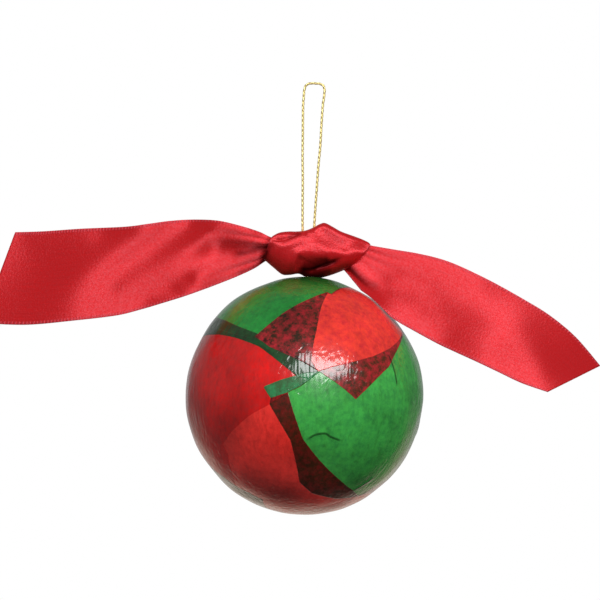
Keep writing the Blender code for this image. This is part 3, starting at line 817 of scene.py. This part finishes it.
# The form of the knot's front, as lines of (x, height, how far forward).
KNOT_FORM = [
    # just inside the upper outline
    [(-15, 15.8, 5), (-12.5, 16.9, 5.9), (-8.9, 17.6, 6.3), (-5.5, 17.8, 6.5), (-2, 18.4, 6.6)],
    [(1.5, 19.4, 6.8), (5, 21.7, 6.8), (8.5, 20.6, 6.8), (13, 18.2, 7.2), (18, 16.6, 6.4), (22.5, 14.9, 5)],
    # the wrap's upper edge, and the facet below it on the left
    [(-17.3, 13.8, 4.4), (-14.9, 14.4, 5.8), (-12.4, 14.4, 6.6), (-9.1, 15.2, 7), (-5.5, 16.7, 7.1),
     (-2.2, 18.4, 6.9)],
    [(-17.2, 11.6, 4.8), (-12, 12.4, 7.3), (-8, 13.2, 7.8), (-4, 14.6, 7.95), (-1.2, 15.8, 7.9)],
    [(-17.2, 9.4, 4.8), (-12, 10.4, 7.3), (-8, 11.2, 7.9), (-4.2, 12.4, 8.2), (-1, 13.6, 8.4)],
    [(-16.6, 7.6, 4.4), (-11.5, 7.4, 7), (-7.6, 8.2, 8)],
    [(-13.6, 4.6, 5), (-11, 3.4, 5.6), (-8.4, 3.6, 6.6)],
    # the long ridge, and its fork to the right
    [(-0.6, 18.6, 7.1), (0.3, 16.1, 7.9), (1.4, 14.6, 8.4), (3.6, 13.6, 8.9), (7, 11.8, 9.3),
     (10.3, 10.6, 9.5), (13, 9.5, 9.4)],
    [(15.3, 10.1, 9), (17.9, 11, 8.2), (20.6, 11, 7.2), (22.6, 10.8, 6)],
    # ground above the ridge, and the hollow of the upper right
    [(3.6, 17, 7.6), (7, 14.4, 8.25), (11, 12.6, 8.65), (15, 12, 8.35)],
    [(6, 19, 7), (9.6, 16.9, 7.35), (13.2, 15.2, 7.75), (17.4, 13.9, 7.4)],
    # crest below the ridge, then down to the deep fold
    [(0.4, 12.2, 8.9), (3.4, 10.8, 9.45), (7, 9.3, 9.75), (10.6, 8.7, 9.7)],
    [(-1.2, 9.4, 9), (3.2, 8.4, 9.4), (7.4, 7.7, 9.5)],
    [(-1.4, 6.8, 7.8), (3, 6.5, 8.2), (7.2, 6.7, 8.6)],
    # low ridge on the left
    [(-4.4, 9.8, 8.8), (-5.4, 7.8, 8.6), (-6.1, 5.3, 8), (-7, 2.2, 6.4)],
    # roll below the deep fold
    [(13, 6.3, 9), (10.5, 4.7, 9.2), (7.9, 3.3, 8.8), (4.9, 2.3, 8)],
    [(13.2, 3.6, 7), (9, 2, 7.4), (4, 0.8, 7), (0, 1, 6)],
    # under the fork
    [(15.2, 8.2, 8.9), (18.2, 8.6, 7.8), (21.2, 9.4, 6.4)],
    [(15.5, 5, 7.4), (18.5, 6.2, 6)],
]
# Edges of wraps that lie over others: the line, how deep the step is on its left side, how far back the
# lower layer stays down, how far the upper layer rolls under at its edge, and how soft the step is.
KNOT_LAPS = [
    ([(-18, 13.2), (-17.3, 13.8), (-14.9, 14.4), (-12.4, 14.4), (-9.1, 15.2), (-5.5, 16.7), (-2.2, 18.4)],
     0.7, 1.6, 0.2, 0.6),
    ([(15.4, 9), (13, 8), (10.5, 6.9), (7.2, 5.6), (4, 4.2), (1, 2.4), (-1, 1)], 3, 2.4, 2.2, 1),
    ([(-3.6, 10), (-4.6, 8), (-5.3, 5.6), (-5.8, 3.4), (-6.6, 0.8)], 1.2, 4, 0.2, 0.6),
]
# Where little light gets into the folds: a line, how far the dark reaches, and the share of light lost.
RIBBON_SHADES = [
    ([(5.6, 20), (8.6, 17.4), (12, 15.6), (16, 14.4)], 1.7, 0.26),
    ([(-32, 9), (-28.5, 9.1), (-26.1, 9.6), (-23.2, 10.6), (-19.4, 11.3), (-14, 12)], 1.5, 0.55),
    ([(-41, 10.5), (-34, 9.8), (-28, 10), (-20, 11.5)], 3, 0.16),
    ([(-20.4, 4.6), (-19, 6.6), (-17.8, 9.4), (-17.4, 11)], 1.1, 0.8),
    ([(-31, -0.6), (-26, 1.4), (-21, 4.4), (-15, 8)], 1.9, 0.4),
    ([(-9.5, 15.7), (-6.4, 16.9), (-3.2, 18.2)], 0.9, 0.45),
    ([(13.4, 7.7), (10.3, 6.4), (7, 5.1), (3.8, 4.2), (0.4, 3.2), (-2.6, 3), (-4.8, 2.2)], 1.3, 0.92),
    ([(9.5, 7), (4, 5.8), (0, 5), (-3.8, 4.8)], 2.4, 0.7),
    ([(-2.8, 9), (-3.9, 7), (-4.7, 4.6)], 1.3, 0.35),
    ([(8, 0.6), (2, 0.4), (-1, 1.1), (-4.4, 1.8)], 1.8, 0.86),
    ([(10, 2.4), (5, 2.2), (1, 2.4)], 1.6, 0.62),
    ([(14.6, 6.6), (17.5, 4.6), (20.5, 1.6), (23.8, -1), (27, -2.4), (31, -3.4)], 1.8, 0.44),
]

knot_keys = smooth_through(KNOT_SECTIONS, KNOT_ROWS)
knot_share = (0.5 - 0.5 * np.cos(np.linspace(0.0, math.pi, KNOT_SIDE)))[None, :]
knot_profile = (1.0 - np.abs(2 * knot_share - 1.0) ** KNOT_ROUNDNESS) ** (1.0 / KNOT_ROUNDNESS)
knot_flat = (
    knot_keys[:, None, 0:2] * (1.0 - knot_share[..., None]) + knot_keys[:, None, 2:4] * knot_share[..., None]
)
knot_power = np.where(knot_share < 0.5, KNOT_EDGE_ABOVE, KNOT_EDGE_BELOW)
fullness = knot_keys[:, None, 4] * (1.0 - np.abs(2 * knot_share - 1.0) ** knot_power) ** 0.5
knot_front = sheet_through(KNOT_FORM, knot_flat, KNOT_FORM_SPACING, KNOT_FORM_SLACK) * fullness
knot_back = knot_keys[:, None, 5] * knot_profile
for line, depth, reach, roll, softness in KNOT_LAPS:
    distance, side, along = beside(knot_flat, line)
    taper = eased(fade_at_ends(along, LAP_END)) * fullness
    lower_layer = np.clip(distance * side / softness + 0.5, 0.0, 1.0)
    knot_front -= depth * taper * lower_layer * np.exp(-distance / reach)
    knot_front -= roll * taper * (1.0 - lower_layer) * np.exp(-distance / (2.0 * softness))
wave_place = knot_flat[..., 0] - BACK_WAVE_LEAN * knot_flat[..., 1]
knot_back += BACK_WAVE * fullness * np.cos(BACK_WAVE_TURN * wave_place)

front_net = np.stack([knot_flat[..., 0], -knot_front, knot_flat[..., 1] - HANG_DROP], axis=-1)
back_net = np.stack([knot_flat[..., 0], knot_back, knot_flat[..., 1] - HANG_DROP], axis=-1)
knot_net = np.concatenate([front_net, back_net[:, -2:0:-1]], axis=1)
knot_ring = knot_net.shape[1]

# Both ends turn in on themselves, so the tails come out of a rolled mouth: the size of each ring there, as
# a share of the knot's end, and how far in it stands.
KNOT_MOUTH = [(0.93, -0.15), (0.82, 0.2), (0.66, 1.2), (0.45, 2.6), (0.2, 3.6)]
ends = []
for row, inward in ((0, 1.0), (-1, -1.0)):
    rim = knot_net[row]
    centre = rim.mean(axis=0)
    ends.append([centre + (rim - centre) * size + [inward * step, 0.0, 0.0] for size, step in KNOT_MOUTH])
knot_net = np.concatenate([np.array(ends[0][::-1]), knot_net, np.array(ends[1])])
knot_net = off_the_ball(knot_net, KNOT_GAP)
knot_rows = knot_net.shape[0]
knot_points = np.concatenate([knot_net.reshape(-1, 3), knot_net[[0, -1]].mean(axis=1)])
at_row, at_column = net_faces(knot_rows, knot_ring, True)
knot_quads = at_row * knot_ring + at_column % knot_ring
knot_arc = np.linspace(0.0, KNOT_GIRTH / MAP_SPAN, knot_ring + 1)
knot_across = (KNOT_MARGIN + (RIBBON_WIDTH - KNOT_MARGIN) * at_row / knot_rows) / MAP_SPAN
knot_uv = np.stack([knot_arc[at_column], knot_across], axis=-1).reshape(-1, 2)
spin = np.arange(knot_ring)
knot_tip = knot_rows * knot_ring
knot_caps = np.concatenate([fan(spin, knot_tip), fan(knot_tip - knot_ring + spin, knot_tip + 1)[:, ::-1]])

left_points, left_faces, left_uv = sheet_shell(*tail_net(LEFT_STATIONS, LEFT_TURNS, LEFT_PLEATS))
right_points, right_faces, right_uv = sheet_shell(*tail_net(RIGHT_STATIONS, RIGHT_TURNS, RIGHT_PLEATS))
knot_start = len(left_points) + len(right_points)
ribbon_points = np.concatenate([left_points, right_points, knot_points])
ribbon_faces = left_faces.tolist() + (right_faces + len(left_points)).tolist()
ribbon_faces += (knot_quads[:, ::-1] + knot_start).tolist() + (knot_caps[:, ::-1] + knot_start).tolist()
knot_uv = knot_uv.reshape(-1, 4, 2)[:, ::-1].reshape(-1, 2)
ribbon_uv = np.concatenate([left_uv, right_uv, knot_uv, np.full((len(knot_caps) * 3, 2), 0.1)])

# painted shade in the folds: darkness near the RIBBON_SHADES lines, kept off the knot's back
painted_fold_shade = np.zeros(len(ribbon_points))
for line, reach, dark in RIBBON_SHADES:
    distance, _, along = beside(ribbon_points[:, [0, 2]] + [0.0, HANG_DROP], line)
    dark_here = dark * fade_at_ends(along, SHADE_END) * np.exp(-(distance / reach) ** 2)
    painted_fold_shade = 1.0 - (1.0 - painted_fold_shade) * (1.0 - dark_here)
painted_fold_shade[knot_start:] *= knot_points[:, 1] < KNOT_FRONT
satin_ribbon = piece_from("satin_ribbon", ribbon_points, ribbon_faces, ribbon_uv, {"painted_fold_shade": painted_fold_shade})

# Polyester satin: long floats along the strip give a bright, spread sheen with a grainy sparkle, and the
# woven edges show as a narrow toothed band, pinker at the loops' tops as a painted highlight. The grain is
# drawn coarser than real threads, so that it shows. Painted shade in the folds darkens its colour and sheen.
SELVAGE_WIDTH = 1.5  # mm in from the edge
SELVAGE_FULL = 0.9
satin, satin_node = new_material("polyester_satin")
thread_uv = satin_node("UVMap", uv_map="thread")
satin_object = satin_node("TexCoord").outputs["Object"]
run_along, run_across, _ = satin_node("SeparateXYZ", {"Vector": thread_uv}).outputs
streak_uv = satin_node("Mapping", {"Vector": thread_uv, "Scale": (2.0, 60.0, 1.0)})
float_streaks = satin_node("TexNoise", {"Vector": streak_uv, "Scale": 4.0, "Detail": 3.0})
sparkle = satin_node("TexNoise", {
    "Vector": satin_object, "Scale": 1.0 / (0.8 * MM), "Detail": 2.0, "Roughness": 0.6})
satin_shade = satin_node("MapRange", [float_streaks, 0.3, 0.7, 0.93, 1.06])
# the painted fold shade dims the satin's colour here and, below, its sheen
fold_shade_value = satin_node("Attribute", attribute_name="painted_fold_shade").outputs["Fac"]
fold_light = satin_node("Math", [1.0, fold_shade_value], operation="SUBTRACT")
satin_lit = satin_node("Math", [satin_shade, fold_light], operation="MULTIPLY")
satin_field = satin_node("VectorMath", {0: linear("#DA2024")[:3], "Scale": satin_lit}, operation="SCALE")
from_middle = satin_node("Math", [run_across, RIBBON_WIDTH / 2 / MAP_SPAN], operation="SUBTRACT")
off_middle = satin_node("Math", [from_middle], operation="ABSOLUTE")
selvage = satin_node("MapRange", [
    off_middle, (RIBBON_WIDTH / 2 - SELVAGE_WIDTH) / MAP_SPAN, (RIBBON_WIDTH / 2 - SELVAGE_FULL) / MAP_SPAN],
    **SMOOTH)
picot_turn = satin_node("Math", [run_along, 2 * math.pi * MAP_SPAN / PICOT_PITCH], operation="MULTIPLY")
picot_wave = satin_node("Math", [picot_turn], operation="SINE")
picot_top = satin_node("MapRange", [picot_wave, -0.5, 0.7, 0.30, 1.0], **SMOOTH)
picots = satin_node("Math", [selvage, picot_top], operation="MULTIPLY")
# painted highlight: the woven edges are coloured pinker, most at the loops' tops, for the light they catch
satin_base = satin_node("Mix", {0: picots, 6: satin_field, 7: linear("#D23C46")}, data_type="RGBA")
weave_height = satin_node("Math", [picots, 0.9, sparkle], operation="MULTIPLY_ADD")
satin_bump = satin_node("Bump", {"Height": weave_height, "Distance": 0.17 * MM, "Strength": 0.7})
satin_glint = satin_node("MapRange", [sparkle, 0.36, 0.66, 0.38, 1.0])
fold_glint = satin_node("Math", [satin_glint, fold_light], operation="MULTIPLY")
satin_tangent = satin_node("Tangent", direction_type="UV_MAP", uv_map="thread")
satin_shader = satin_node("BsdfPrincipled", {
    "Base Color": satin_base, "Roughness": 0.60, "IOR": 1.68, "Metallic": 0.40,
    "Specular IOR Level": fold_glint, "Specular Tint": linear("#FFDFF2"), "Anisotropic": 1.0,
    "Anisotropic Rotation": 0.25, "Tangent": satin_tangent, "Sheen Weight": 0.04, "Sheen Roughness": 0.35,
    "Sheen Tint": linear("#FF7A8C"), "Normal": satin_bump})
satin_node("OutputMaterial", {"Surface": satin_shader})
satin_ribbon.data.materials.append(satin)
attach(satin_ribbon, "root")
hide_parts("ribbon")

# Floor and light: a pale round table well below the ornament, a large softbox high at the front right,
# and a white room.
FLOOR_DROP = 1200.0
FLOOR_RADIUS = 700.0
FLOOR_SIDES = 96
SOFTBOX_AWAY = 1.2  # metres

floor_turn = np.linspace(0.0, 2 * math.pi, FLOOR_SIDES, endpoint=False)
floor_ring = np.stack([FLOOR_RADIUS * np.cos(floor_turn), FLOOR_RADIUS * np.sin(floor_turn),
                       np.full(FLOOR_SIDES, -FLOOR_DROP)], axis=1)
pale_table = piece_from("pale_table", floor_ring, [list(range(FLOOR_SIDES))])

# White laminate with a faint warm grain.
table_matt, table_node = new_material("matt_white_laminate")
table_grain = table_node("TexNoise", {"Vector": table_node("TexCoord").outputs["Object"], "Scale": 60.0})
table_colour = table_node("Mix", {
    0: table_grain, 6: linear("#F4F0EB"), 7: linear("#F8F5F1")}, data_type="RGBA")
table_shader = table_node("BsdfPrincipled", {"Base Color": table_colour, "Roughness": 0.7})
table_node("OutputMaterial", {"Surface": table_shader})
pale_table.data.materials.append(table_matt)
pale_table.visible_glossy = False

key_way = unit(np.array([0.255, -0.80, 0.475]))
key_place = BALL_MIDDLE * MM + key_way * SOFTBOX_AWAY
key_data = bpy.data.lights.new("softbox", "AREA")
key_data.shape = "ELLIPSE"
key_data.size = 1.00
key_data.size_y = 0.42
key_data.energy = 13.8
key = bpy.data.objects.new("softbox", key_data)
key_side, key_up = east_and_north(key_way)
key_axes = np.stack([key_side, key_up, key_way, key_place], axis=1)
key.matrix_world = Matrix(key_axes.tolist() + [[0.0, 0.0, 0.0, 1.0]])
bpy.context.scene.collection.objects.link(key)

# The room by direction: brighter towards the top and the left, with a glow straight behind and a warm one
# low behind. Shiny surfaces mirror it dimly, and the camera itself sees plain white.
world = bpy.data.worlds.new("white_room")
world.use_nodes = True
world.node_tree.nodes.clear()
room_node = partial(add_node, world.node_tree)
room_turn = room_node("TexCoord").outputs["Generated"]
to_right, to_back, to_top = room_node("SeparateXYZ", {"Vector": room_turn}).outputs
room_height = room_node("MapRange", [to_top, -0.5, 0.5, 0.06, 0.34], **SMOOTH)
room_left = room_node("MapRange", [to_right, 0.0, -0.9, 0.0, 0.22], **SMOOTH)
room_way = room_node("LightPath")
room_mirrored = room_node("MapRange", [room_way.outputs["Is Glossy Ray"], 0.0, 1.0, 1.0, 0.38])
room_whole = room_node("Math", [room_height, room_left], operation="ADD")
room_front = room_node("Math", [room_whole, room_mirrored], operation="MULTIPLY")
room_depth = room_node("MapRange", [to_back, 0.74, 1.0, 0.0, 0.38], **SMOOTH)
room_fall = room_node("MapRange", [to_top, 0.0, 0.5, 1.0, 0.35], **SMOOTH)
room_back = room_node("Math", [room_depth, room_fall], operation="MULTIPLY")
room_sum = room_node("Math", [room_front, room_back], operation="ADD")
warm_far = room_node("MapRange", [to_back, 0.35, 0.90], **SMOOTH)
warm_low = room_node("MapRange", [to_top, -0.05, -0.45, 0.0, 0.60], **SMOOTH)
warm_share = room_node("Math", [warm_far, warm_low], operation="MULTIPLY")
room_glow = room_node("Background", {"Color": linear("#FFFFFF"), "Strength": room_sum})
warm_glow = room_node("Background", {"Color": linear("#FFE4CC"), "Strength": warm_share})
room_light = room_node("AddShader", {0: room_glow, 1: warm_glow})
room_seen = room_node("Background", {"Color": linear("#FFFFFF"), "Strength": 1.0})
room_mix = room_node("MixShader", {0: room_way.outputs["Is Camera Ray"], 1: room_light, 2: room_seen})
room_node("OutputWorld", {"Surface": room_mix})
bpy.context.scene.world = world
bpy.context.scene.view_settings.view_transform = "Standard"
